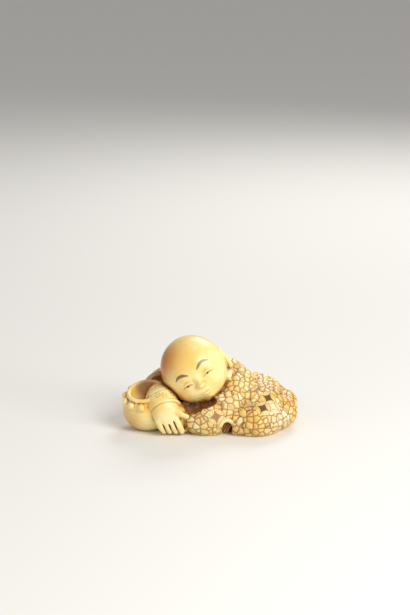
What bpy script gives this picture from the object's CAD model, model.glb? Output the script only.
import math

import bpy
import numpy as np
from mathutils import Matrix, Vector


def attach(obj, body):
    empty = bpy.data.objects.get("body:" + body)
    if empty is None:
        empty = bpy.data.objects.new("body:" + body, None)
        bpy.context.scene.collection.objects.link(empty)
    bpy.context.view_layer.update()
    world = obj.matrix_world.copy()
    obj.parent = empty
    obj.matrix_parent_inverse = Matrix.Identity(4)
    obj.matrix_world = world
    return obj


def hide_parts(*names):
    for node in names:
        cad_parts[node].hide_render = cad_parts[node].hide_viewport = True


# A netsuke of carved and polished ivory: a child leaning on a folded arm, beside a pot.
# Blender works in metres; the carving is worked out in millimetres, then scaled.
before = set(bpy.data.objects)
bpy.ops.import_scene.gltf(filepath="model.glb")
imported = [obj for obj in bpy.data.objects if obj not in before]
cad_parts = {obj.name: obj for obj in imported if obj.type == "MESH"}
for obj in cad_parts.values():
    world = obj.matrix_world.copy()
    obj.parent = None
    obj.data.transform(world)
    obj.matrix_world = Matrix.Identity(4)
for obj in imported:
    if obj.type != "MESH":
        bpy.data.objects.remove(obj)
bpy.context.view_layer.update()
metresPerMm = 0.001
print("frame loaded")


# small helpers for colours and nodes

def hexColour(text):  # sRGB hex to linear
    values = [int(text[i:i + 2], 16) / 255 for i in (1, 3, 5)]
    linear = [v / 12.92 if v <= 0.04045 else ((v + 0.055) / 1.055) ** 2.4 for v in values]
    return (*linear, 1.0)


def addNode(tree, kind, inputs=None, **settings):  # a node given as a value stands for its first output
    made = tree.nodes.new(kind)
    for name, value in settings.items():
        setattr(made, name, value)
    for name, value in (inputs or {}).items():
        if isinstance(value, bpy.types.Node):
            value = value.outputs[0]
        if isinstance(value, bpy.types.NodeSocket):
            tree.links.new(value, made.inputs[name])
        else:
            made.inputs[name].default_value = value
    return made


# distance functions: p is an array of points in mm, the answer is negative inside

def turnMatrix(turn):  # degrees about X, then Y, then Z, as in the solid
    x, y, z = (math.radians(angle) for angle in turn)
    aboutX = np.array([[1, 0, 0], [0, math.cos(x), -math.sin(x)], [0, math.sin(x), math.cos(x)]])
    aboutY = np.array([[math.cos(y), 0, math.sin(y)], [0, 1, 0], [-math.sin(y), 0, math.cos(y)]])
    aboutZ = np.array([[math.cos(z), -math.sin(z), 0], [math.sin(z), math.cos(z), 0], [0, 0, 1]])
    return (aboutX @ aboutY @ aboutZ).astype(np.float32)


def length(p):
    return np.sqrt(np.einsum("ij,ij->i", p, p))


def lobe(p, centre, radii, turn=(0, 0, 0), grow=0.0):
    local = p - np.float32(centre)
    if any(turn):
        local = local @ turnMatrix(turn)
    size = np.float32(radii) + np.float32(grow)
    near = length(local / size)
    slope = length(local / (size * size)) + 1e-6
    return near * (near - 1) / slope


def curvePoints(stations, steps):  # a smooth curve through stations of x, y, z, radius
    stations = np.asarray(stations, float)
    padded = np.vstack([2 * stations[0] - stations[1], stations, 2 * stations[-1] - stations[-2]])
    points = []
    for i in range(1, len(padded) - 2):
        before, start, end, after = padded[i - 1:i + 3]
        for t in np.arange(steps) / steps:
            smooth = 0.5 * (2 * start + (end - before) * t
                            + (2 * before - 5 * start + 4 * end - after) * t * t
                            + (3 * start - before - 3 * end + after) * t ** 3)
            smooth[3] = start[3] + (end[3] - start[3]) * t
            points.append(smooth)
    points.append(padded[-2])
    return np.array(points, np.float32)


def limb(p, stations, steps=4, grow=0.0):
    points = curvePoints(stations, steps)
    nearest = None
    for start, end in zip(points[:-1], points[1:]):
        along = end[:3] - start[:3]
        local = p - start[:3]
        share = np.clip(local @ along / (along @ along), 0, 1)
        radius = start[3] + (end[3] - start[3]) * share + np.float32(grow)
        away = length(local - share[:, None] * along) - radius
        nearest = away if nearest is None else np.minimum(nearest, away)
    return nearest


def ring(p, centre, radius, thickness, along):
    axis = np.float32(along) / np.float32(np.linalg.norm(along))
    local = p - np.float32(centre)
    height = local @ axis
    out = length(local - height[:, None] * axis)
    return np.hypot(out - radius, height) - thickness


def blend(a, b, k):  # joins two forms with a fillet about k wide
    overlap = np.maximum(k - np.abs(a - b), 0) / k
    return np.minimum(a, b) - overlap * overlap * k * 0.25


def blendAll(distances, k):
    joined = distances[0]
    for other in distances[1:]:
        joined = blend(joined, other, k)
    return joined


def cutOut(a, b, k):  # takes form b out of form a
    return -blend(-a, b, k)


def rise(value, low, high):  # a smooth step from 0 at low to 1 at high
    t = np.clip((value - low) / (high - low), 0, 1)
    return t * t * (3 - 2 * t)


# the head, in its own axes: x to the child's right, y out of the face, z to the crown, all in mm

head = {
    "centre": (-4.1, -3.6, 15.2),
    "halfSizes": (8.5, 8.8, 9.2),
    "lean": 36,
    "lookUp": 8,
    "jawNarrowing": 0.1, "jawStart": 0.3,
    "faceReach": 2.5, "faceFront": 3,   # the features are only worked out near the skull and in front
}
# side, up, spread sideways, spread up, height, in shares of the head's half sizes
faceForms = {
    "brow": (0, 0.08, 0.5, 0.12, 0.012),
    "mouthMound": (0, -0.56, 0.2, 0.12, 0.03),
    "chin": (0, -0.82, 0.19, 0.11, 0.045),
}
pairedFaceForms = {
    "cheek": (0.42, -0.46, 0.22, 0.2, 0.042),
    "socket": (0.34, -0.1, 0.18, 0.09, -0.03),
    "innerSocket": (0.15, -0.12, 0.07, 0.08, -0.014),
}
face = {
    "nose": [(0, 7.9, -0.4, 0.55), (0, 8.75, -2.3, 0.62), (0, 9.25, -3.2, 0.8)],
    "noseWing": (0.82, 8.75, -3.35, 0.52),
    "nostril": (0.42, 9.3, -3.95, 0.2),
    "upperLip": [(-1.35, -5.2, 0.12), (-0.55, -4.95, 0.27), (0, -5.02, 0.25), (0.55, -4.95, 0.27),
                 (1.35, -5.2, 0.12)],
    "lowerLip": [(-0.95, -5.62, 0.16), (0, -5.78, 0.34), (0.95, -5.62, 0.16)],
    "mouthLine": [(-1.5, -5.2, 0.06), (-0.7, -5.33, 0.11), (0, -5.38, 0.12), (0.7, -5.33, 0.11),
                  (1.5, -5.2, 0.06)],
    "lid": [(1.75, -1.75, 0.3), (3.0, -1.2, 0.5), (4.35, -1.5, 0.3)],
    "lowerLid": [(2.0, -2.1, 0.22), (3.1, -2.25, 0.3), (4.1, -1.95, 0.2)],
    "eyeSlit": [(1.6, -2.0, 0.06), (2.4, -1.74, 0.17), (3.1, -1.66, 0.22), (3.9, -1.72, 0.16), (4.6, -1.8, 0.05)],
    "lashLine": [(1.5, -1.95, 0.08), (2.3, -1.6, 0.14), (3.1, -1.46, 0.17), (3.9, -1.56, 0.14), (4.7, -1.85, 0.07)],
    "lidFold": [(1.9, -1.15, 0.05), (3.0, -0.66, 0.09), (4.3, -0.95, 0.05)],
    "pupil": (3.05, -1.72), "pupilHalfSizes": (0.32, 0.6, 0.272),
    "brow": [(1.4, 0.7, 0.2), (2.6, 1.4, 0.44), (3.8, 1.55, 0.44), (5.0, 0.9, 0.15)],
}
ear = {
    "centre": (-8.15, -0.2, -2.2), "turn": (0, 0, 20),
    "shell": (1.0, 1.9, 3.0),
    "hollow": (0.75, 1.15, 2.1),
    "hollowMiddle": (-0.85, 0.1, 0.1),
    "rimInside": (0.5, 0.62, 1.3), "rimMiddle": (-0.35, -0.35, -0.1),
}


def headBasis():
    up = math.radians(head["lookUp"])
    lean = math.radians(head["lean"])
    forward = np.array([0, -math.cos(up), math.sin(up)])
    level = np.cross(forward, [1, 0, 0])
    crown = level * math.cos(lean) + np.cross(forward, level) * math.sin(lean)
    right = np.cross(forward, crown)
    return np.column_stack([right, forward, crown]).astype(np.float32)


def bump(form, x, z):
    side, up, wide, tall, height = form
    return height * np.exp(-((x - side) / wide) ** 2 - ((z - up) / tall) ** 2)


def faceRelief(x, y, z):
    height = sum(bump(form, x, z) for form in faceForms.values())
    height = height + sum(bump(form, np.abs(x), z) for form in pairedFaceForms.values())
    return height * np.clip(y * 2.5, 0, 1)


def onFace(x, z, radius, sink=0.0):  # a place on the face from its mm to the side and up
    half = head["halfSizes"]
    sideShare, upShare = x / half[0], z / half[2]
    y = math.sqrt(max(0.0, 1 - sideShare ** 2 - upShare ** 2))
    size = 1 + float(faceRelief(np.float64(sideShare), np.float64(y), np.float64(upShare)))
    jaw = 1 - head["jawNarrowing"] * float(rise(-upShare, head["jawStart"], 1))
    return (sideShare * size * jaw * half[0], y * size * half[1] - sink, upShare * size * half[2], radius)


def faceStroke(local, name, side=1, sink=0.0):
    return limb(local, [onFace(side * x, z, radius, sink) for x, z, radius in face[name]], 3)


def toHead(p):
    return (p - np.float32(head["centre"])) @ headBasis()


def skullDistance(local):
    half = np.float32(head["halfSizes"])
    jaw = 1 - head["jawNarrowing"] * rise(-local[:, 2] / half[2], head["jawStart"], 1)
    shape = local / half
    shape[:, 0] /= jaw
    size = length(shape) + 1e-6
    x, y, z = (shape / size[:, None]).T
    return (size - 1 - faceRelief(x, y, z)) * half[0]


def earDistance(local):
    turned = (local - np.float32(ear["centre"])) @ turnMatrix(ear["turn"])
    shell = lobe(turned, (0, 0, 0), ear["shell"])
    hollow = lobe(turned, ear["hollowMiddle"], ear["hollow"])
    inner = lobe(turned, ear["rimMiddle"], ear["rimInside"])
    return blend(cutOut(shell, hollow, 0.35), inner, 0.3)


def headDistance(p):
    local = toHead(p)
    skull = blend(skullDistance(local), earDistance(local), 0.5)
    near = (np.abs(skull) < head["faceReach"]) & (local[:, 1] > head["faceFront"])
    if not near.any():
        return skull
    q = local[near]
    d = skull[near]
    d = blend(d, limb(q, face["nose"], 3), 0.9)
    for side in (-1, 1):
        x, y, z, radius = face["noseWing"]
        d = blend(d, lobe(q, (side * x, y, z), (radius,) * 3), 0.45)
        x, y, z, radius = face["nostril"]
        d = cutOut(d, lobe(q, (side * x, y, z), (radius,) * 3), 0.15)
        d = blend(d, faceStroke(q, "lid", side, 0.22), 0.35)
        d = blend(d, faceStroke(q, "lowerLid", side, 0.14), 0.3)
        d = cutOut(d, faceStroke(q, "eyeSlit", side, -0.12), 0.08)
        d = cutOut(d, faceStroke(q, "lidFold", side, -0.02), 0.2)
    d = blend(d, faceStroke(q, "upperLip", 1, 0.04), 0.3)
    d = blend(d, faceStroke(q, "lowerLip", 1, 0.08), 0.3)
    d = cutOut(d, faceStroke(q, "mouthLine", 1, -0.12), 0.1)
    skull[near] = d
    return skull


# the pot: a round belly tipped towards the viewer, a rolled lip, a ring of bosses, hollow inside

pot = {
    "centre": (-15.8, -4.8, 5.5),
    "tip": (17, -9, 0),
    "belly": (6.9, 6.9, 5.9),
    "lipRing": 4.5, "lipHeight": 4.9, "lipThickness": 0.55,
    "hollow": (4.0, 4.0, 5.0),
    "bosses": 12, "bossRing": 5.6, "bossHeight": 3.6, "bossRadius": 1.05, "bossStart": 0.3,
    "mouth": (-0.8, -1.4, 4.6), "mouthReach": 4.6,   # from the belly's middle, kept free of brocade
}


def potDistance(p):
    local = (p - np.float32(pot["centre"])) @ turnMatrix(pot["tip"])
    d = lobe(local, (0, 0, 0), pot["belly"])
    lip = ring(local, (0, 0, pot["lipHeight"]), pot["lipRing"], pot["lipThickness"], (0, 0, 1))
    d = blend(d, lip, 0.5)
    for i in range(pot["bosses"]):
        angle = 2 * math.pi * i / pot["bosses"] + pot["bossStart"]
        place = (pot["bossRing"] * math.cos(angle), pot["bossRing"] * math.sin(angle), pot["bossHeight"])
        d = blend(d, lobe(local, place, (pot["bossRadius"],) * 3), 0.3)
    hollow = lobe(local, (0, 0, pot["lipHeight"]), pot["hollow"])
    above = np.maximum(np.hypot(local[:, 0], local[:, 1]) - pot["hollow"][0], pot["lipHeight"] - local[:, 2])
    return cutOut(d, np.minimum(hollow, above), 0.25)


# the child's right hand over the pot

hand = {
    "back": ((-11.2, -11.4, 5.9), (3.5, 2.6, 3.4), (-25, 0, 4)),
    "palm": ((-9.6, -9.4, 4.2), (3.8, 3.4, 3.6)),
    "fingers": 4,
    "knuckles": ((-13.0, -12.8, 4.1), (-8.7, -12.8, 4.8)),
    "tips": ((-11.8, -11.9, 1.3), (-7.2, -12.0, 1.35)),
    "radii": (0.98, 0.92, 0.76),
    "bend": 0.5,
    "slit": (0, -0.66, 0.12), "slitRadii": (0.14, 0.2, 0.16),
    "thumb": [(-9.4, -11.8, 6.9, 1.15), (-7.6, -12.8, 6.3, 0.92), (-6.0, -13.1, 5.6, 0.68)],
}


def fingerStations(number):  # a half stands for the gap between two fingers
    share, rows = number / (hand["fingers"] - 1), (hand["knuckles"], hand["tips"])
    knuckle, tip = (np.array(first) + (np.array(last) - first) * share for first, last in rows)
    middle = (knuckle + tip) / 2 - (0, hand["bend"], 0)
    return [(*place, radius) for place, radius in zip((knuckle, middle, tip), hand["radii"])]


def slitDistance(p):  # the dark cuts between the fingers
    slits = []
    for i in range(hand["fingers"] - 1):
        places = [np.array(station[:3]) + hand["slit"] for station in fingerStations(i + 0.5)]
        slits.append(limb(p, [(*place, radius) for place, radius in zip(places, hand["slitRadii"])], 3))
    return np.minimum.reduce(slits)


def handDistance(p):
    d = blend(lobe(p, *hand["back"]), lobe(p, *hand["palm"]), 1.0)
    fingers = [limb(p, fingerStations(i), 3) for i in range(hand["fingers"])]
    d = cutOut(blend(d, blendAll(fingers, 0.08), 0.5), slitDistance(p), 0.15)
    return blend(d, limb(p, hand["thumb"], 3), 0.5)


# the robe: torso, shoulders, hips, legs and sleeves, each a few swelling forms

robe = {
    "body": [
        ((0, 2, 5.6), (11, 8.8, 7)),
        ((4.3, 1.6, 10.7), (7, 5.8, 6), (0, 32, 0)),
        ((-8.2, 2.6, 9.4), (6, 5.4, 5.6)),
    ],
    "hips": ((11.5, 3, 6), (7.6, 7.6, 6.15)),
    "farLeg": [(4, 7.2, 4.4, 4.2), (12, 7.6, 4.6, 4.8), (17.2, 5.2, 3.8, 3.9)],
    "lap": ((12.8, -3, 4.4), (7.8, 9, 7)),
    "nearLeg": [(8, -9.4, 3.6, 4.3), (13, -9.6, 3.9, 4.9), (18.4, -4, 4.2, 4.5)],
    "foot": ((19.8, 3, 4.2), (3.3, 4, 3.5)),
    "nearArm": [(7.4, -0.5, 10, 4.9), (5.6, -7, 6.6, 4.6), (0, -9.2, 4.6, 4.6)],
    "nearSleeve": ((-0.6, -9.4, 4), (6.6, 4.7, 4.9)),
    "front": ((-6.4, -7.2, 3.4), (4, 4, 4.4)),
    "behindArch": ((4.4, -5, 2.2), (3.2, 3.4, 3.2)),
    "outerSleeve": ((-11.4, 2.6, 8.6), (5.4, 4.4, 5.4)),
    "archedHem": [(1.7, -13.2, 1.8, 0.42), (2.6, -13.3, 3.5, 0.55), (3.9, -13.1, 4.6, 0.6),
                  (5.4, -12.8, 4.15, 0.58), (6.3, -12.6, 2.9, 0.5)],
    "archHollow": ((4.4, -11.6, 1.5), (1.45, 4.2, 2.5)),
    "archPleats": [(3.2, -9.6, -0.5, 0.36), (4.1, -9.3, 1.2, 0.32), (5.2, -9.0, 2.8, 0.26)],
    "pleats": 3, "pleatStep": 0.75,
    "sleeveFold": [(6.6, -12.4, 4.6, 0.4), (8.3, -12.1, 6.2, 0.8), (10.2, -11.1, 7.9, 1.0),
                   (12.0, -9.0, 9.3, 0.85), (13.0, -6.2, 10.4, 0.4)],
    "underChin": [((-4.5, -11.6, 7.9), (2.8, 4.2, 1.8), (0, -5, 0)),
                  ((-1.5, -11.0, 8.5), (3.2, 3.6, 1.0), (0, -11, 0))],
    "creases": [
        [(-3.4, -9.1, 6.7, 0.1), (-2.7, -9.9, 6.8, 0.3), (-2.1, -11.3, 6.9, 0.34), (-1.4, -13.1, 7.2, 0.3),
         (-0.8, -13.4, 6.9, 0.1)],
        [(6.5, -13.2, 4.4, 0.08), (7.2, -13.2, 5, 0.26), (7.8, -13.1, 5.5, 0.34), (8.4, -12.9, 6, 0.36),
         (9.1, -12.8, 6.4, 0.36), (9.7, -12.8, 6.9, 0.36), (10.4, -12.4, 7.3, 0.36), (11, -11.9, 7.8, 0.34),
         (11.5, -11.4, 8.3, 0.3), (12.1, -10.4, 8.6, 0.26), (12.5, -10, 9.2, 0.1)],
        [(2.8, -13, 6.6, 0.08), (3, -12.6, 7.2, 0.28), (3.2, -12.2, 7.7, 0.3), (3.5, -11.6, 8.2, 0.3),
         (3.7, -11.2, 8.7, 0.1)],
    ],
    "creaseDepth": 0.24,
    "sleeveMouth": ((-12.1, 1.1, 9.0), (4.9, 2.4, 4.7)),
    "collarRise": 0.7, "collarWidth": 1.3,
    "foldRise": 0.5, "foldThickness": 0.9, "foldsBehind": 4.5,
    # how softly each form meets the rest, in mm
    "fillets": {"body": 1.4, "farLeg": 1.2, "hips": 1.0, "lap": 2.0, "folds": 0.9, "foldEdge": 0.6,
                "sleeveMouth": 0.4, "outerSleeve": 0.8, "front": 0.8, "behindArch": 0.8, "collar": 0.25,
                "collarEdge": 0.35, "foot": 0.4, "leg": 0.35, "nearSleeve": 1.2, "arm": 0.35,
                "sleeveFold": 0.5, "archedHem": 0.3},
}
foldFans = {
    "hips": {"centre": (12, 2, 5), "thin": 1, "turns": [(-48, 0, 0), (-70, 0, 0), (-92, 0, 0)]},
    "back": {"centre": (-1, 2, 6), "thin": 0, "turns": [(0, 10, -42), (0, 6, -12), (0, -4, 20)]},
}
farSleeve = {
    "inner": [(-12.2, 0.5, 7.3, 3.7), (-12.5, -4.5, 7.7, 4.15), (-12.35, -8.4, 7.65, 4.25),
              (-11.6, -10.3, 7.0, 3.7)],
    "outerHem": ((-12.2, -1.2, 9.1), 4.65, 0.7, (0, -1, -0.1)),
    "wrist": ((-11.5, -9.8, 7.25), 3.65, 0.42, (0.15, -0.65, -0.72)),
    "hollow": ((-12.4, -0.2, 11.9), (2.9, 2.6, 1.3), (0, 8, 0)),
    # a place on each line cut round the sleeve and the way the sleeve runs there
    "lines": [((-12.8, -9.7, 11.3), (0.4, -0.6, -0.69)), ((-10.8, -12.95, 9.4), (0.26, -0.74, -0.62))],
    "linesReach": 6.5, "archLineOut": 0.13,
}
cordTunnel = [(-2.8, 3.6, -1.4, 1.4), (0.5, 3.1, 3.4, 1.4), (3.8, 2.6, -1.4, 1.4)]


def bodyDistance(p, grow=0.0):
    return blendAll([lobe(p, *form, grow=grow) for form in robe["body"]], robe["fillets"]["body"])


def hipDistance(p, grow=0.0):
    return blend(lobe(p, *robe["hips"], grow=grow), limb(p, robe["farLeg"], 4, grow), robe["fillets"]["farLeg"])


def foldDistance(p, fan, cloth):  # ridges where thin slabs meet the robe
    local = p - np.float32(fan["centre"])
    slabs = [np.abs((local @ turnMatrix(turn))[:, fan["thin"]]) for turn in fan["turns"]]
    nearest = np.minimum.reduce(slabs) - robe["foldThickness"] / 2
    return -blendAll([-nearest, -cloth, p[:, 1] - robe["foldsBehind"]], robe["fillets"]["foldEdge"])


def collarDistance(p):
    reach = lobe(p, head["centre"], head["halfSizes"], (0, head["lean"], 0), robe["collarWidth"])
    return -blend(-bodyDistance(p, robe["collarRise"]), -reach, robe["fillets"]["collarEdge"])


def robeDistance(p):
    soft = robe["fillets"]
    body = blend(bodyDistance(p), hipDistance(p), soft["hips"])
    body = blend(body, lobe(p, *robe["lap"]), soft["lap"])
    for name, cloth in (("hips", hipDistance), ("back", bodyDistance)):
        body = blend(body, foldDistance(p, foldFans[name], cloth(p, robe["foldRise"])), soft["folds"])
    shoulder = blend(lobe(p, *robe["outerSleeve"]), lobe(p, *robe["sleeveMouth"]), soft["sleeveMouth"])
    body = blend(body, shoulder, soft["outerSleeve"])
    for name in ("front", "behindArch"):
        body = blend(body, lobe(p, *robe[name]), soft[name])
    body = blend(body, collarDistance(p), soft["collar"])
    leg = blend(limb(p, robe["nearLeg"], 5), lobe(p, *robe["foot"]), soft["foot"])
    arm = blend(limb(p, robe["nearArm"]), lobe(p, *robe["nearSleeve"]), soft["nearSleeve"])
    body = blend(blend(body, leg, soft["leg"]), arm, soft["arm"])
    for name in ("sleeveFold", "archedHem"):
        body = blend(body, limb(p, robe[name]), soft[name])
    return body


def farSleeveDistance(p):
    inner = limb(p, farSleeve["inner"])
    return blend(inner, ring(p, *farSleeve["wrist"]), 0.25)


def pieceDistances(p):
    return {
        "robe": robeDistance(p),
        "hem": ring(p, *farSleeve["outerHem"]),
        "farSleeve": farSleeveDistance(p),
        "pot": potDistance(p),
        "hand": handDistance(p),
        "head": headDistance(p),
    }


def creaseDistance(p):
    return np.minimum.reduce([limb(p, crease, 1) for crease in robe["creases"]])


def archPleats(p):
    shifts = [(i - 1) * robe["pleatStep"] for i in range(robe["pleats"])]
    return np.minimum.reduce([limb(p - np.float32((shift, 0, 0)), robe["archPleats"], 3) for shift in shifts])


# fillets where whole pieces meet, in mm
carving = {"hem": 0.35, "hollows": 0.3, "pleats": 0.15, "pieces": 0.2, "head": 0.15, "underside": 0.35}


def carvingDistance(p):
    pieces = pieceDistances(p)
    d = blend(pieces["robe"], pieces["hem"], carving["hem"])
    for hollow in (farSleeve["hollow"], robe["archHollow"]):
        d = cutOut(d, lobe(p, *hollow), carving["hollows"])
    d = blend(d, archPleats(p), carving["pleats"])
    for name in ("farSleeve", "pot", "hand"):
        d = blend(d, pieces[name], carving["pieces"])
    for hollow in robe["underChin"]:
        d = cutOut(d, lobe(p, *hollow), carving["hollows"])
    d = blend(d, pieces["head"], carving["head"])
    d = cutOut(d, limb(p, cordTunnel, 6), carving["hollows"])
    return -blend(-d, p[:, 2], carving["underside"])


# a closed mesh of the carving: blocks near the surface are split into fine cells

meshing = {
    "low": (-26.0, -18.0, -1.5), "high": (27.0, 17.0, 28.0),
    "cell": 0.14, "cellsPerBlock": 4, "blocksPerChunk": 4,
    "chunkOfPoints": 400000,
    "blockReach": 0.87 * 1.35,   # half a block's diagonal and some to spare
    "quickCell": 2.0,
    "settling": 0.05,            # mm that a vertex may move onto the surface in one step
    "slopeStep": 0.03, "smoothStep": 0.08,
    "triangles": 192000,
}
farAway = 9.0  # mm, for points that a line doesn't reach


def evaluate(distance, points):
    step = meshing["chunkOfPoints"]
    points = np.float32(points)
    return np.concatenate([distance(points[i:i + step]) for i in range(0, len(points), step)])


def gridOf(counts):
    return np.stack(np.meshgrid(*[np.arange(n) for n in counts], indexing="ij"), -1).reshape(-1, 3)


def nearBlocks(distance, origin, size, blocks):
    centres = origin + (blocks + 0.5) * size
    return blocks[np.abs(evaluate(distance, centres)) < size * meshing["blockReach"]]


def surfaceNet(distance, cell):
    origin = np.array(meshing["low"])
    per = meshing["cellsPerBlock"]
    block, chunk = cell * per, cell * per * meshing["blocksPerChunk"]
    counts = np.ceil((np.array(meshing["high"]) - origin) / chunk).astype(int)
    chunks = nearBlocks(distance, origin, chunk, gridOf(counts))
    inner = gridOf([meshing["blocksPerChunk"]] * 3)
    blocks = (chunks[:, None] * meshing["blocksPerChunk"] + inner).reshape(-1, 3)
    blocks = nearBlocks(distance, origin, block, blocks)
    corners = blocks[:, None] * per + gridOf([per + 1] * 3)
    span = int(corners.max()) + 2
    keys = (corners[..., 0] * span + corners[..., 1]) * span + corners[..., 2]
    unique, inverse = np.unique(keys, return_inverse=True)
    places = np.stack([unique // span // span, unique // span % span, unique % span], -1)
    values = evaluate(distance, origin + places * cell)
    cube = values[inverse].reshape(-1, per + 1, per + 1, per + 1)
    offsets = gridOf([2, 2, 2])
    corner = np.stack([cube[:, x:x + per, y:y + per, z:z + per] for x, y, z in offsets], -1)
    active = (corner.min(-1) < 0) & (corner.max(-1) >= 0)
    cells = (blocks[:, None] * per + gridOf([per] * 3)).reshape(-1, per, per, per, 3)[active]
    corner = corner[active]
    sums, hits = np.zeros((len(cells), 3)), np.zeros(len(cells))
    for a in range(8):
        for b in range(a + 1, 8):
            if np.abs(offsets[a] - offsets[b]).sum() != 1:
                continue
            crossed = (corner[:, a] < 0) != (corner[:, b] < 0)
            start, end = corner[crossed, a], corner[crossed, b]
            share = (start / (start - end))[:, None]
            sums[crossed] += offsets[a] + share * (offsets[b] - offsets[a])
            hits[crossed] += 1
    vertices = origin + (cells + sums / hits[:, None]) * cell
    cellKeys = (cells[:, 0] * span + cells[:, 1]) * span + cells[:, 2]
    order = np.argsort(cellKeys)
    sortedKeys = cellKeys[order]
    strides = (span * span, span, 1)
    faces = []
    for axis, (second, third) in enumerate(((1, 2), (2, 0), (0, 1))):
        far = int(np.flatnonzero((offsets == np.eye(3, dtype=int)[axis]).all(1))[0])
        crossed = (corner[:, 0] < 0) != (corner[:, far] < 0)
        base = cellKeys[crossed]
        around = [base, base - strides[second], base - strides[second] - strides[third], base - strides[third]]
        quad = np.stack([order[np.searchsorted(sortedKeys, key)] for key in around], -1)
        inward = corner[crossed, 0] >= 0
        quad[inward] = quad[inward][:, ::-1]
        faces.append(quad)
    return vertices, np.concatenate(faces)


def gradients(distance, points, step):
    parts = []
    for axis in range(3):
        shift = np.zeros(3)
        shift[axis] = step
        parts.append(evaluate(distance, points + shift) - evaluate(distance, points - shift))
    slope = np.stack(parts, -1) / (2 * step)
    return slope / (np.linalg.norm(slope, axis=1, keepdims=True) + 1e-9)


# engraved motifs: linked-circle medallions on the robe and scrolls on the inner sleeve

medallions = {
    "circleRadius": 2.05,
    "ovalInset": 0.36,
    "lineDepth": 0.09, "lineWidth": 0.16,
    "diamondDepth": 0.14,
    "reach": 3.2,
    # each patch: where its first circle is, which way its lattice stands, its circles and their diamonds' tones
    "patches": [
        {"at": (13.6, -12.6, 7.8), "up": (0.37, 0.35, 0.86), "circles": {(0, 0): 1.0, (1, 0): 0.0, (1, 1): 0.8}},
        {"at": (1.5, -13.6, 5.7), "up": (-0.23, 0.4, 0.9), "circles": {(0, 0): 0.5}},
        {"at": (14.0, 10.6, 6.6), "up": (0.1, -0.2, 0.95), "circles": {(0, 0): 0.9, (1, 0): 0.0, (0, 1): 0.7}},
        {"at": (-1.0, 10.4, 8.0), "up": (-0.3, -0.2, 0.9), "circles": {(0, 0): 0.8, (1, 0): 0.0}},
    ],
}
scrolls = {
    "turns": 1.6, "radius": 1.0, "lineWidth": 0.12, "depth": 0.11, "reach": 1.5,
    # places on the inner sleeve and which way each winds
    "places": [(-13.4, -11.1, 10.4, 1), (-11.5, -11.3, 10.8, -1), (-14.4, -7.4, 11.2, -1), (-11.8, -5.8, 11.8, 1),
               (-15.7, -9.2, 9.0, 1), (-9.6, -9.8, 11.0, 1), (-12.9, -3.2, 11.7, 1), (-15.6, -4.6, 10.4, -1)],
}


def patchPlane(patch, surface, normals):  # the patch's middle on the surface, its two directions and its normal
    nearest = np.argmin(((surface - patch["at"]) ** 2).sum(1))
    normal = normals[nearest]
    up = np.array(patch["up"]) - normal * np.dot(patch["up"], normal)
    up /= np.linalg.norm(up)
    return surface[nearest], up, np.cross(up, normal), normal


def medallionFields(points, planes):  # mm to the patch's edge, mm to the nearest petal's edge, tone of the diamond
    radius = medallions["circleRadius"]
    circle = petal = np.full(len(points), farAway)
    tone = np.zeros(len(points))
    for patch, (middle, up, beside, normal) in zip(medallions["patches"], planes):
        local = points - middle
        high, wide = local @ up / radius, local @ beside / radius
        near = np.abs(local @ normal) < medallions["reach"]
        s, t = (high + wide) / 2, (high - wide) / 2
        column, row = np.round(s), np.round(t)
        a, b = (s - column) + (t - row), (s - column) - (t - row)
        own = np.hypot(a, b) - 1
        leaf = np.maximum(np.hypot(np.abs(a) - 1, np.abs(b) - 1) - 1, own) * radius
        for (m, n), value in patch["circles"].items():
            edge = np.where(near, (np.hypot(high - m - n, wide - m + n) - 1) * radius, farAway)
            closer = edge < circle
            circle = np.where(closer, edge, circle)
            petal = np.where(closer, leaf, petal)
            tone = np.where(closer & (column == m) & (row == n), value, np.where(closer, 0, tone))
    return circle, petal, tone


def medallionLines(circle, petal):
    oval = np.abs(petal + medallions["ovalInset"]) + 0.03
    return np.minimum(np.minimum(np.abs(petal), oval), np.abs(circle))


def scrollLines(points):
    stations = curvePoints(farSleeve["inner"], 12)[:, :3].astype(float)
    nearest = np.full(len(points), farAway)
    for x, y, z, winding in scrolls["places"]:
        centre = np.array([x, y, z])
        i = min(np.argmin(((stations - centre) ** 2).sum(1)), len(stations) - 2)
        out = centre - stations[i]
        out /= np.linalg.norm(out)
        across = np.cross(out, stations[i + 1] - stations[i])
        across /= np.linalg.norm(across)
        local = points - centre
        u, v, w = local @ np.cross(across, out), local @ across * winding, local @ out
        reach = np.hypot(u, v)
        pitch = scrolls["radius"] / scrolls["turns"]
        turn = reach / pitch - np.arctan2(v, u) / (2 * math.pi)
        spiral = np.abs(turn - np.round(turn)) * pitch
        inside = (reach < scrolls["radius"]) & (np.abs(w) < scrolls["reach"])
        nearest = np.minimum(nearest, np.where(inside, spiral, farAway))
    onSleeve = np.abs(evaluate(farSleeveDistance, points)) < scrolls["depth"] * 2.5
    return np.where(onSleeve, nearest, farAway)


def hemLines(points):  # lines cut round the inner sleeve and along the arched hem
    nearest = np.full(len(points), farAway)
    close = length(points - np.array(farSleeve["wrist"][0])) < farSleeve["linesReach"]
    p = np.float32(points[close])
    pieces = pieceDistances(p)
    apart = np.minimum.reduce([pieces[name] for name in ("robe", "hem", "pot", "head")])
    line = np.min([np.abs((p - np.float32(at)) @ (np.float32(along) / np.float32(np.linalg.norm(along))))
                   for at, along in farSleeve["lines"]], 0)
    nearest[close] = np.where(apart > 0.1, line, farAway)
    arch = evaluate(lambda q: limb(q, robe["archedHem"]), points)
    return np.minimum(nearest, np.abs(arch - farSleeve["archLineOut"]))


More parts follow.
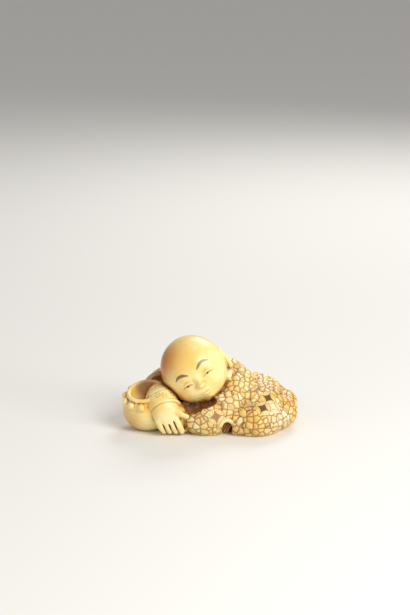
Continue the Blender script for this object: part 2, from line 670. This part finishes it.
def engravedLines(points):  # eye, lid, mouth and finger lines that hold a little stain
    p = np.float32(points)
    local = toHead(p)
    lash = np.minimum(faceStroke(local, "lashLine", 1), faceStroke(local, "lashLine", -1))
    lash = np.minimum(lash, slitDistance(p) - 0.04)
    mouth = faceStroke(local, "mouthLine", 1)
    brow = np.minimum(faceStroke(local, "brow", 1), faceStroke(local, "brow", -1))
    x, z = face["pupil"]
    pupils = [lobe(local, onFace(side * x, z, 0)[:3], face["pupilHalfSizes"]) for side in (-1, 1)]
    return lash, mouth, brow, np.minimum(*pupils)


recessLooks = [(0.35, 1.0), (0.8, 0.9), (1.6, 0.8), (3.2, 0.7)]  # mm out from the surface and the weight of each


def sunk(points, normals):  # how closed in each point is, 0 in the open to 1 in a deep recess
    total, weights = np.zeros(len(points)), 0.0
    for reach, weight in recessLooks:
        free = evaluate(carvingDistance, points + normals * reach)
        total += weight * np.clip(1 - free / reach, 0, 1)
        weights += weight
    return total / weights


def robeShare(p):  # negative on the brocade cloth, positive elsewhere, in mm
    pieces = pieceDistances(p)
    others = np.minimum.reduce([pieces[name] for name in ("hem", "farSleeve", "pot", "hand", "head")])
    cloth = pieces["robe"] - others
    edges = np.minimum(limb(p, robe["archedHem"]), collarDistance(p)) - 0.02
    hollows = np.minimum(lobe(p, *robe["archHollow"]), lobe(p, *farSleeve["hollow"])) - 0.05
    plain = np.minimum(edges, hollows)
    under = brocade["startHeight"] - p[:, 2]
    inPot = pot["mouthReach"] - length(p - np.float32(pot["centre"]) - np.float32(pot["mouth"]))
    return np.maximum.reduce([cloth, -plain, under, inPot])


# the brocade's pebble cells, cut by a geometry node tree

brocade = {
    "cellSize": 1.62,      # mm between cell middles
    "grooveWidth": 0.25,   # mm from a cell's edge to its flat top
    "depth": 0.18,         # mm
    "crown": 0.07,         # mm that each pebble swells
    "rounding": 4,         # steps of smoothing that round the pebbles' corners
    "randomness": 0.72,
    "seed": 7.3,
    "startHeight": 0.35,   # mm above the underside
}


def brocadeTree(material):
    tree = bpy.data.node_groups.new("cutBrocade", "GeometryNodeTree")
    sockets = tree.interface
    sockets.new_socket("Geometry", in_out="INPUT", socket_type="NodeSocketGeometry")
    for name in ("Cell Size", "Groove Width", "Depth", "Crown", "Seed"):
        sockets.new_socket(name, in_out="INPUT", socket_type="NodeSocketFloat")
    sockets.new_socket("Rounding", in_out="INPUT", socket_type="NodeSocketInt")
    sockets.new_socket("Geometry", in_out="OUTPUT", socket_type="NodeSocketGeometry")
    given = addNode(tree, "NodeGroupInput").outputs
    place = addNode(tree, "GeometryNodeInputPosition")
    normal = addNode(tree, "GeometryNodeInputNormal")
    perCell = addNode(tree, "ShaderNodeMath", {0: 1.0, 1: given["Cell Size"]}, operation="DIVIDE")
    scaled = addNode(tree, "ShaderNodeVectorMath", {0: place, "Scale": perCell}, operation="SCALE")
    moved = addNode(tree, "ShaderNodeVectorMath", {0: scaled, 1: given["Seed"]}, operation="ADD")
    lattice = {"Vector": moved, "Scale": 1.0, "Randomness": brocade["randomness"]}
    cells = addNode(tree, "ShaderNodeTexVoronoi", lattice, feature="DISTANCE_TO_EDGE").outputs["Distance"]
    edge = addNode(tree, "ShaderNodeMath", {0: cells, 1: given["Cell Size"]}, operation="MULTIPLY")
    groove = addNode(tree, "ShaderNodeMapRange", {"Value": edge, "From Max": given["Groove Width"],
                     "To Min": 1.0, "To Max": 0.0}, interpolation_type="SMOOTHSTEP")
    dome = addNode(tree, "ShaderNodeMapRange", {"Value": cells, "From Max": 0.4, "To Max": given["Crown"]},
                   interpolation_type="SMOOTHSTEP")
    smooth = addNode(tree, "GeometryNodeBlurAttribute", {"Value": groove, "Iterations": given["Rounding"]},
                     data_type="FLOAT")
    cut = addNode(tree, "ShaderNodeMath", {0: smooth, 1: given["Depth"]}, operation="MULTIPLY")
    height = addNode(tree, "ShaderNodeMath", {0: dome, 1: cut}, operation="SUBTRACT")
    cloth = addNode(tree, "GeometryNodeInputNamedAttribute", {"Name": "cloth"}, data_type="FLOAT")
    masked = addNode(tree, "ShaderNodeMath", {0: height, 1: cloth}, operation="MULTIPLY")
    offset = addNode(tree, "ShaderNodeVectorMath", {0: normal, "Scale": masked}, operation="SCALE")
    carved = addNode(tree, "GeometryNodeSetPosition", {"Geometry": given["Geometry"], "Offset": offset})
    real = addNode(tree, "GeometryNodeRealizeInstances", {"Geometry": carved})
    finish = addNode(tree, "GeometryNodeSetMaterial", {"Geometry": real, "Material": material})
    addNode(tree, "NodeGroupOutput", {"Geometry": finish})
    return tree


# the finish

ivory = {
    "light": "#FBE7A4",      # polished high places
    "middle": "#F0C662",     # most of the surface
    "pale": "#FFF2D2",       # rubbed places
    "honey": "#C26A08",      # patina of the old outer skin
    "gold": "#C08A2C",       # wax beside the cut lines
    "deep": "#6A3A16",       # wax and dirt in recesses
    "plum": "#755660",       # grey-purple bloom in folds
    "ink": "#5A3812",        # stain in the robe's lines
    "dark": "#2A190C",       # stain in the eyes and the deepest cuts
    "brow": "#564006",
    "diamondBrown": "#643C18",
    "diamondRose": "#9A663E",
    "ior": 1.54,
    "bumpHeight": 0.02,      # mm
    "glow": 0.9,             # mm that light travels inside
    "cloudSize": 10.53,      # mm
    "growthLines": (3.85, 3.03, 0.667),  # mm along the tusk, across it and from line to line
    "hairSize": 0.3846,      # mm
}
# source, value where it starts, value where it is full, strength, colour, mask
ivoryLayers = [
    ("cloud", 0.38, 0.66, 0.9, "middle", None),
    ("grain", 0.35, 0.7, 0.25, "middle", None),
    ("patina", 0.0, 1.0, 0.95, "honey", None),
    ("patina", 0.0, -1.0, 0.8, "pale", None),
    ("plum", 0.0, 1.0, 0.7, "plum", None),
    ("hollow", 0.2, 0.6, 0.55, "honey", None),
    ("hollow", 0.5, 0.92, 0.85, "deep", None),
    ("cellTone", 0.2, 1.0, 0.4, "gold", "cloth"),
    ("cellTone", 0.35, 0.0, 0.5, "pale", "cloth"),
    ("cellEdge", 0.42, 0.1, 0.5, "gold", "cloth"),
    ("cellEdge", 0.13, 0.04, 0.75, "ink", "cloth"),
    ("hollow", 0.8, 1.3, 0.85, "deep", None),
    ("petal", 0.05, 0.13, 0.9, "diamondRose", "toneShare"),
    ("petal", 0.05, 0.13, 0.9, "diamondBrown", "brownShare"),
    ("petalLine", 0.12, 0.05, 0.75, "ink", "medallion"),
    ("cut", 0.04, 0.1, 0.5, "ink", "plain"),
    ("brow", 0.06, -0.12, 0.85, "brow", "strokes"),
    ("lash", 0.05, -0.05, 0.9, "dark", None),
    ("pupil", 0.04, -0.05, 0.9, "dark", None),
    ("mouth", 0.05, -0.06, 0.5, "dark", None),
]
vertexFields = ["cloth", "plain", "medallion", "petal", "circle", "tone", "patina", "plum", "hollow", "cut",
                "brow", "lash", "pupil", "mouth"]


def ivoryMaterial():
    # Elephant ivory, hand carved and polished: warm, close-grained, a soft gloss, brown ink in the lines
    material = bpy.data.materials.new("carvedPolishedIvory")
    material.use_nodes = True
    tree = material.node_tree
    tree.nodes.clear()
    colours = {name: hexColour(value) for name, value in ivory.items() if isinstance(value, str)}
    place = addNode(tree, "ShaderNodeTexCoord").outputs["Object"]
    sources = {name: addNode(tree, "ShaderNodeAttribute", attribute_name=name).outputs["Fac"]
               for name in vertexFields}
    cloudScale, hairScale = (1 / (ivory[name] * metresPerMm) for name in ("cloudSize", "hairSize"))
    growthScale = tuple(1 / (size * metresPerMm) for size in ivory["growthLines"])
    sources["cloud"] = addNode(tree, "ShaderNodeTexNoise", {
        "Vector": place, "Scale": cloudScale, "Detail": 3.0, "Roughness": 0.55})
    along = addNode(tree, "ShaderNodeMapping", {"Vector": place, "Rotation": (0.1, 0.5, 0.2), "Scale": growthScale})
    sources["grain"] = addNode(tree, "ShaderNodeTexNoise", {"Vector": along, "Scale": 1.0, "Detail": 2.0})
    fine = addNode(tree, "ShaderNodeTexNoise", {"Vector": place, "Scale": hairScale, "Detail": 2.0})
    sources["strokes"] = addNode(tree, "ShaderNodeMapRange", {
        "Value": fine, "From Min": 0.3, "From Max": 0.6, "To Min": 0.92})

    # the same cells as the cut brocade
    perCell = 1 / (brocade["cellSize"] * metresPerMm)
    scaled = addNode(tree, "ShaderNodeVectorMath", {0: place, "Scale": perCell}, operation="SCALE")
    moved = addNode(tree, "ShaderNodeVectorMath", {0: scaled, 1: (brocade["seed"],) * 3}, operation="ADD")
    lattice = {"Vector": moved, "Scale": 1.0, "Randomness": brocade["randomness"]}
    edges = addNode(tree, "ShaderNodeTexVoronoi", lattice, feature="DISTANCE_TO_EDGE").outputs["Distance"]
    cells = addNode(tree, "ShaderNodeTexVoronoi", lattice, feature="F1").outputs["Color"]
    sources["cellTone"] = addNode(tree, "ShaderNodeSeparateColor", {"Color": cells}).outputs["Red"]
    wobble = addNode(tree, "ShaderNodeMath", {0: fine, 1: 0.08, 2: -0.04}, operation="MULTIPLY_ADD")
    sources["cellEdge"] = addNode(tree, "ShaderNodeMath", {0: edges, 1: brocade["cellSize"], 2: wobble},
                                  operation="MULTIPLY_ADD")

    # medallion lines, from the signed mm to a petal's edge and to the circles' edge
    inset = addNode(tree, "ShaderNodeMath", {0: sources["petal"], 1: medallions["ovalInset"]}, operation="ADD")
    oval, leaf, rim = [addNode(tree, "ShaderNodeMath", {0: socket}, operation="ABSOLUTE")
                       for socket in (inset, sources["petal"], sources["circle"])]
    oval = addNode(tree, "ShaderNodeMath", {0: oval, 1: 0.04}, operation="ADD")
    line = addNode(tree, "ShaderNodeMath", {0: oval, 1: leaf}, operation="MINIMUM")
    sources["petalLine"] = addNode(tree, "ShaderNodeMath", {0: line, 1: rim}, operation="MINIMUM")
    for name, low, high in (("toneShare", 0.1, 0.4), ("brownShare", 0.5, 0.8)):
        shown = addNode(tree, "ShaderNodeMapRange", {"Value": sources["tone"], "From Min": low, "From Max": high})
        sources[name] = addNode(tree, "ShaderNodeMath", {0: shown, 1: sources["medallion"]}, operation="MULTIPLY")

    base, shares = colours["light"], {}
    for source, low, high, strength, colour, mask in ivoryLayers:
        share = addNode(tree, "ShaderNodeMapRange", {
            "Value": sources[source], "From Min": low, "From Max": high, "To Max": strength,
        }, interpolation_type="SMOOTHSTEP")
        if mask:
            share = addNode(tree, "ShaderNodeMath", {0: share, 1: sources[mask]}, operation="MULTIPLY")
        shares[source] = share
        base = addNode(tree, "ShaderNodeMix", {0: share, 6: base, 7: colours[colour]}, data_type="RGBA").outputs[2]

    inked = addNode(tree, "ShaderNodeMath", {0: shares["cellEdge"], 1: shares["petalLine"]}, operation="MAXIMUM")
    rough = addNode(tree, "ShaderNodeMapRange", {
        "Value": sources["cloud"], "From Min": 0.3, "From Max": 0.7, "To Min": 0.24, "To Max": 0.34})
    for share, added in ((inked, 0.25), (shares["hollow"], 0.2)):
        rough = addNode(tree, "ShaderNodeMath", {0: share, 1: added, 2: rough}, operation="MULTIPLY_ADD")
    relief = fine
    for share, height in ((sources["grain"], 0.12), (inked, -4.0), (shares["brow"], -1.5)):
        relief = addNode(tree, "ShaderNodeMath", {0: share, 1: height, 2: relief}, operation="MULTIPLY_ADD")
    bumped = addNode(tree, "ShaderNodeBump", {
        "Height": relief, "Strength": 0.3, "Distance": ivory["bumpHeight"] * metresPerMm})
    surface = addNode(tree, "ShaderNodeBsdfPrincipled", {
        "Base Color": base, "Roughness": rough, "Normal": bumped, "IOR": ivory["ior"],
        "Subsurface Weight": 0.15, "Subsurface Radius": (1.0, 0.62, 0.3),
        "Subsurface Scale": ivory["glow"] * metresPerMm,
    })
    addNode(tree, "ShaderNodeOutputMaterial", {"Surface": surface})
    return material


# places by middle, reach in mm and strength; patina below 0 is where hands rubbed it pale
patinaPlaces = [
    ((-13.0, -5.5, 17.0), 5.2, 0.95), ((-9.0, -8.0, 22.0), 5.5, 0.3), ((-20.5, -8.0, 2.5), 5.0, 0.5),
    ((21.0, -4.0, 7.8), 2.6, 0.9), ((15.0, -4.0, 10.5), 6.5, 0.5), ((8.0, -12.5, 2.5), 3.5, 0.35),
    ((3.5, 8.0, 14.0), 6.0, 0.5), ((17.0, 9.0, 4.0), 5.0, 0.5),
    ((17.5, -11.0, 4.5), 5.0, -0.9), ((5.0, -11.5, 9.0), 3.6, -0.6), ((-11.0, -13.0, 6.0), 4.0, -0.45),
    ((7.0, -4.0, 15.0), 4.0, -0.4), ((3.8, -13.6, 4.0), 2.2, -0.6),
]
plumPlaces = [
    ((10.4, -12.0, 7.9), 1.4, 0.9), ((3.0, -12.0, 8.2), 1.1, 0.9), ((-16.8, -2.3, 9.8), 2.6, 1.2),
    ((-13.5, -1.5, 12.5), 2.0, 0.6), ((4.4, -9.6, 1.8), 2.0, 0.7),
]
darkPlaces = [((4.4, -9.5, 1.8), 2.2, 0.15), ((-12.4, 0.5, 11.6), 2.2, 0.45)]
stains = {
    "hemPlum": 0.75,
    "underChin": 0.95, "underChinEdge": 0.4, "headGap": 0.15,
    "crease": 1.2,
}


def spread(points, places):
    return sum(strength * np.exp(-((points - middle) ** 2).sum(1) / reach ** 2)
               for middle, reach, strength in places)


def tinted(points):
    hem = rise(-evaluate(lambda p: ring(p, *farSleeve["outerHem"]), points), -0.25, 0.0)
    plum = np.maximum(spread(points, plumPlaces), stains["hemPlum"] * hem)
    recess = evaluate(lambda p: np.minimum.reduce([lobe(p, *cut) for cut in robe["underChin"]]), points)
    chin = rise(stains["underChinEdge"] - recess, 0, stains["underChinEdge"])
    dark = spread(points, darkPlaces)
    dark += stains["underChin"] * chin * rise(evaluate(headDistance, points), 0.0, stains["headGap"])
    dark += stains["crease"] * (1 - rise(evaluate(creaseDistance, points), -0.3, -0.02))
    return np.clip(spread(points, patinaPlaces), -1, 1), np.clip(plum, 0, 1), dark


# building the piece

def meshFrom(name, vertices, faces):
    mesh = bpy.data.meshes.new(name)
    mesh.vertices.add(len(vertices))
    mesh.vertices.foreach_set("co", (vertices * metresPerMm).astype(np.float32).ravel())
    mesh.loops.add(faces.size)
    mesh.loops.foreach_set("vertex_index", faces.astype(np.int32).ravel())
    mesh.polygons.add(len(faces))
    mesh.polygons.foreach_set("loop_start", np.arange(0, faces.size, 4, dtype=np.int32))
    mesh.update(calc_edges=True)
    mesh.validate()
    return mesh


def setAttribute(mesh, name, values):
    made = mesh.attributes.get(name) or mesh.attributes.new(name, "FLOAT", "POINT")
    made.data.foreach_set("value", np.ascontiguousarray(values, np.float32))


def verticesOf(mesh):
    flat = np.empty(len(mesh.vertices) * 3, np.float32)
    mesh.vertices.foreach_get("co", flat)
    return flat.reshape(-1, 3).astype(float) / metresPerMm


def baked(piece):  # the piece's modifiers made real
    graph = bpy.context.evaluated_depsgraph_get()
    mesh = bpy.data.meshes.new_from_object(piece.evaluated_get(graph))
    piece.modifiers.clear()
    piece.data = mesh
    return mesh


def carveMotifs(vertices, normals, planes):
    circle, petal, tone = medallionFields(vertices, planes)
    inside = rise(-circle, -0.05, 0.05)
    width = medallions["lineWidth"]
    depth = inside * medallions["lineDepth"] * (1 - rise(medallionLines(circle, petal), 0.04, width))
    depth = np.maximum(depth, inside * medallions["diamondDepth"] * rise(petal, 0.0, 0.2) * (tone > 0))
    lines = np.minimum(scrollLines(vertices), hemLines(vertices))
    depth = np.maximum(depth, scrolls["depth"] * (1 - rise(lines, 0.04, scrolls["lineWidth"] * 1.8)))
    creases = 1 - rise(evaluate(creaseDistance, vertices), -0.3, 0.06)
    depth = np.maximum(depth, robe["creaseDepth"] * creases)
    return vertices - normals * depth[:, None], circle


def buildNetsuke():
    material = ivoryMaterial()
    cell = meshing["cell"] * 1.0
    vertices, faces = surfaceNet(carvingDistance, cell)
    print("surface net:", len(vertices), "vertices")
    slope, most = gradients(carvingDistance, vertices, meshing["slopeStep"]), meshing["settling"]
    for _ in range(2):
        vertices = vertices - slope * np.clip(evaluate(carvingDistance, vertices), -most, most)[:, None]
    normals = gradients(carvingDistance, vertices, meshing["smoothStep"])
    planes = [patchPlane(patch, vertices, normals) for patch in medallions["patches"]]
    cloth = rise(-evaluate(robeShare, vertices), 0.0, 0.12)
    vertices, circle = carveMotifs(vertices, normals, planes)
    print("motifs carved")
    netsuke = bpy.data.objects.new("carvedNetsuke", meshFrom("carvedNetsuke", vertices, faces))
    bpy.context.scene.collection.objects.link(netsuke)
    setAttribute(netsuke.data, "cloth", cloth * rise(circle, 0.0, 0.15))
    tree = brocadeTree(material)
    modifier = netsuke.modifiers.new("cutBrocade", "NODES")
    modifier.node_group = tree
    wanted = {
        "Cell Size": brocade["cellSize"] * metresPerMm, "Groove Width": brocade["grooveWidth"] * metresPerMm,
        "Depth": brocade["depth"] * metresPerMm, "Crown": brocade["crown"] * metresPerMm, "Seed": brocade["seed"],
        "Rounding": brocade["rounding"],
    }
    for item in tree.interface.items_tree:
        if item.in_out == "INPUT" and item.name in wanted:
            modifier[item.identifier] = wanted[item.name]
    mesh = baked(netsuke)
    print("brocade cut:", len(mesh.polygons), "faces")
    thinning = netsuke.modifiers.new("thinning", "DECIMATE")
    thinning.ratio = min(1.0, meshing["triangles"] / (2 * len(mesh.polygons)))
    mesh = baked(netsuke)
    print("thinned:", len(mesh.polygons), "faces")
    vertices = verticesOf(mesh)
    normals = gradients(carvingDistance, vertices, meshing["smoothStep"])
    circle, petal, tone = medallionFields(vertices, planes)
    lash, mouth, brow, pupil = engravedLines(vertices)
    onRobe = rise(-evaluate(robeShare, vertices), -0.06, 0.06)
    medallion = onRobe * rise(-circle, -0.08, 0.04)
    patina, plum, dark = tinted(vertices)
    fields = {
        "cloth": onRobe * (1 - rise(-circle, -0.05, 0.05)), "plain": 1 - onRobe, "medallion": medallion,
        "petal": petal, "circle": circle, "tone": tone, "patina": patina, "plum": plum,
        "hollow": sunk(vertices, normals) + dark, "cut": -evaluate(carvingDistance, vertices),
        "brow": brow, "lash": lash, "pupil": pupil, "mouth": mouth,
    }
    for name, values in fields.items():
        setAttribute(mesh, name, values)
    if not mesh.materials:
        mesh.materials.append(material)
    mesh.shade_smooth()
    print("stain and patina set")
    return netsuke


netsuke = buildNetsuke()
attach(netsuke, "root")
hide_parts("netsuke")
print("netsuke built")


# floor, lights and camera

studio = {
    "floorSize": 3.0, "floorColour": "#E9E6E0", "floorRoughness": 0.9,
    "cameraDistance": 0.45, "elevation": 18.5,
    "metresPerPixel": 0.000264, "imageHeight": 615, "sensor": 36.0,
    "originRight": 5, "originDown": 113.5,   # pixels from the image's middle to the carving's origin
    "worldStrength": 0.4, "lampAim": (0, 0, 0.01),
}
lamps = {
    "key": {"at": (0.22, -0.26, 0.30), "size": 0.22, "watts": 1.35},
    "fill": {"at": (-0.35, -0.25, 0.22), "size": 0.35, "watts": 0.3},
    "rim": {"at": (0.12, 0.35, 0.30), "size": 0.2, "watts": 0.8},
    "low": {"at": (0.30, -0.20, 0.10), "size": 0.1, "watts": 0.32},
}


def buildFloor():
    half = studio["floorSize"] / 2
    mesh = bpy.data.meshes.new("floor")
    corners = [(-half, -half, 0), (half, -half, 0), (half, half, 0), (-half, half, 0)]
    mesh.from_pydata(corners, [], [(0, 1, 2, 3)])
    floor = bpy.data.objects.new("floor", mesh)
    bpy.context.scene.collection.objects.link(floor)
    material = bpy.data.materials.new("palePaper")  # matt studio paper
    material.use_nodes = True
    shader = material.node_tree.nodes["Principled BSDF"]
    shader.inputs["Base Color"].default_value = hexColour(studio["floorColour"])
    shader.inputs["Roughness"].default_value = studio["floorRoughness"]
    mesh.materials.append(material)


def buildLights():
    for name, lamp in lamps.items():
        light = bpy.data.objects.new(name, bpy.data.lights.new(name, "AREA"))
        light.data.energy, light.data.size = lamp["watts"], lamp["size"]
        light.location = lamp["at"]
        beam = Vector(studio["lampAim"]) - light.location
        light.rotation_euler = beam.to_track_quat("-Z", "Y").to_euler()
        bpy.context.scene.collection.objects.link(light)
    world = bpy.data.worlds.new("studio")
    world.use_nodes = True
    background = world.node_tree.nodes["Background"]
    background.inputs["Color"].default_value = (1, 1, 1, 1)
    background.inputs["Strength"].default_value = studio["worldStrength"]
    bpy.context.scene.world = world


def buildCamera():
    elevation = math.radians(studio["elevation"])
    back = Vector((0, -math.cos(elevation), math.sin(elevation)))
    up = Vector((0, math.sin(elevation), math.cos(elevation)))
    pixel = studio["metresPerPixel"]
    aim = up * studio["originDown"] * pixel - Vector((1, 0, 0)) * studio["originRight"] * pixel
    data = bpy.data.cameras.new("camera")
    data.sensor_width = studio["sensor"]
    data.lens = studio["sensor"] * studio["cameraDistance"] / (studio["imageHeight"] * pixel)
    data.clip_start, data.clip_end = 0.01, 10.0
    camera = bpy.data.objects.new("camera", data)
    camera.location = back * studio["cameraDistance"]
    camera.rotation_euler = (aim - camera.location).to_track_quat("-Z", "Y").to_euler()
    bpy.context.scene.collection.objects.link(camera)
    bpy.context.scene.camera = camera


buildFloor()
buildLights()
buildCamera()
bpy.context.scene.view_settings.view_transform = "Standard"
print("studio set")
